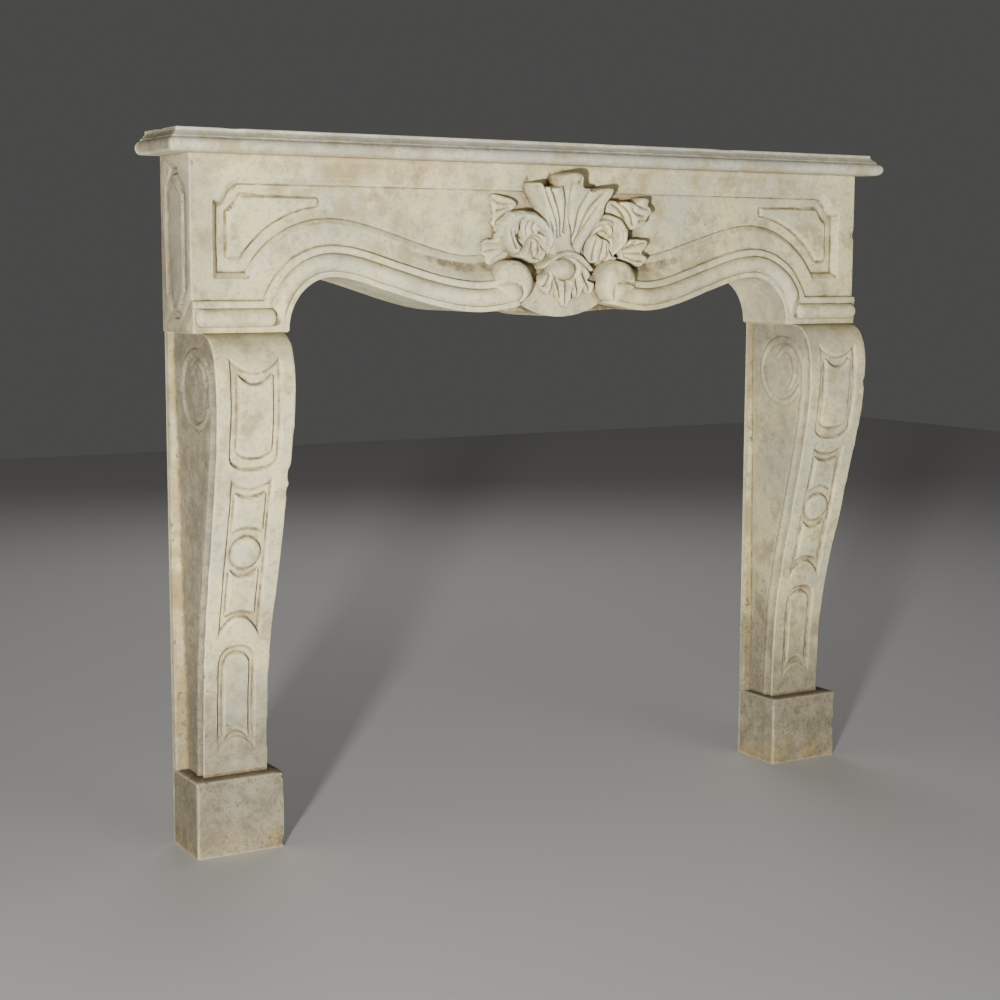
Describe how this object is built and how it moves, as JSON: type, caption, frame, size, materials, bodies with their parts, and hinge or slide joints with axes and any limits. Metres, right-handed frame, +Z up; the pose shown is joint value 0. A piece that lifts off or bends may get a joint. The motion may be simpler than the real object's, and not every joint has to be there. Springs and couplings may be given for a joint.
{
  "type": "fireplace mantel",
  "caption": "Carved limestone fireplace mantel with an arched, moulded frieze, a shell and scrolls at its centre, scrolled jambs and a moulded shelf.",
  "frame": {"origin": "on the hearth, in the middle of the mantel's width and depth", "axes": "+X along the mantel to the right of someone facing it, +Y back toward the wall, +Z up"},
  "size_m": [1.3378, 0.176, 1.1],
  "materials": {
    "limestone": "matt, worn",
    "shelf": "matt, worn"
  },
  "bodies": {
    "root": {"mantel_shelf": "shelf", "frieze": "limestone", "jamb_left": "limestone", "jamb_right": "limestone"}
  },
  "joints": []
}
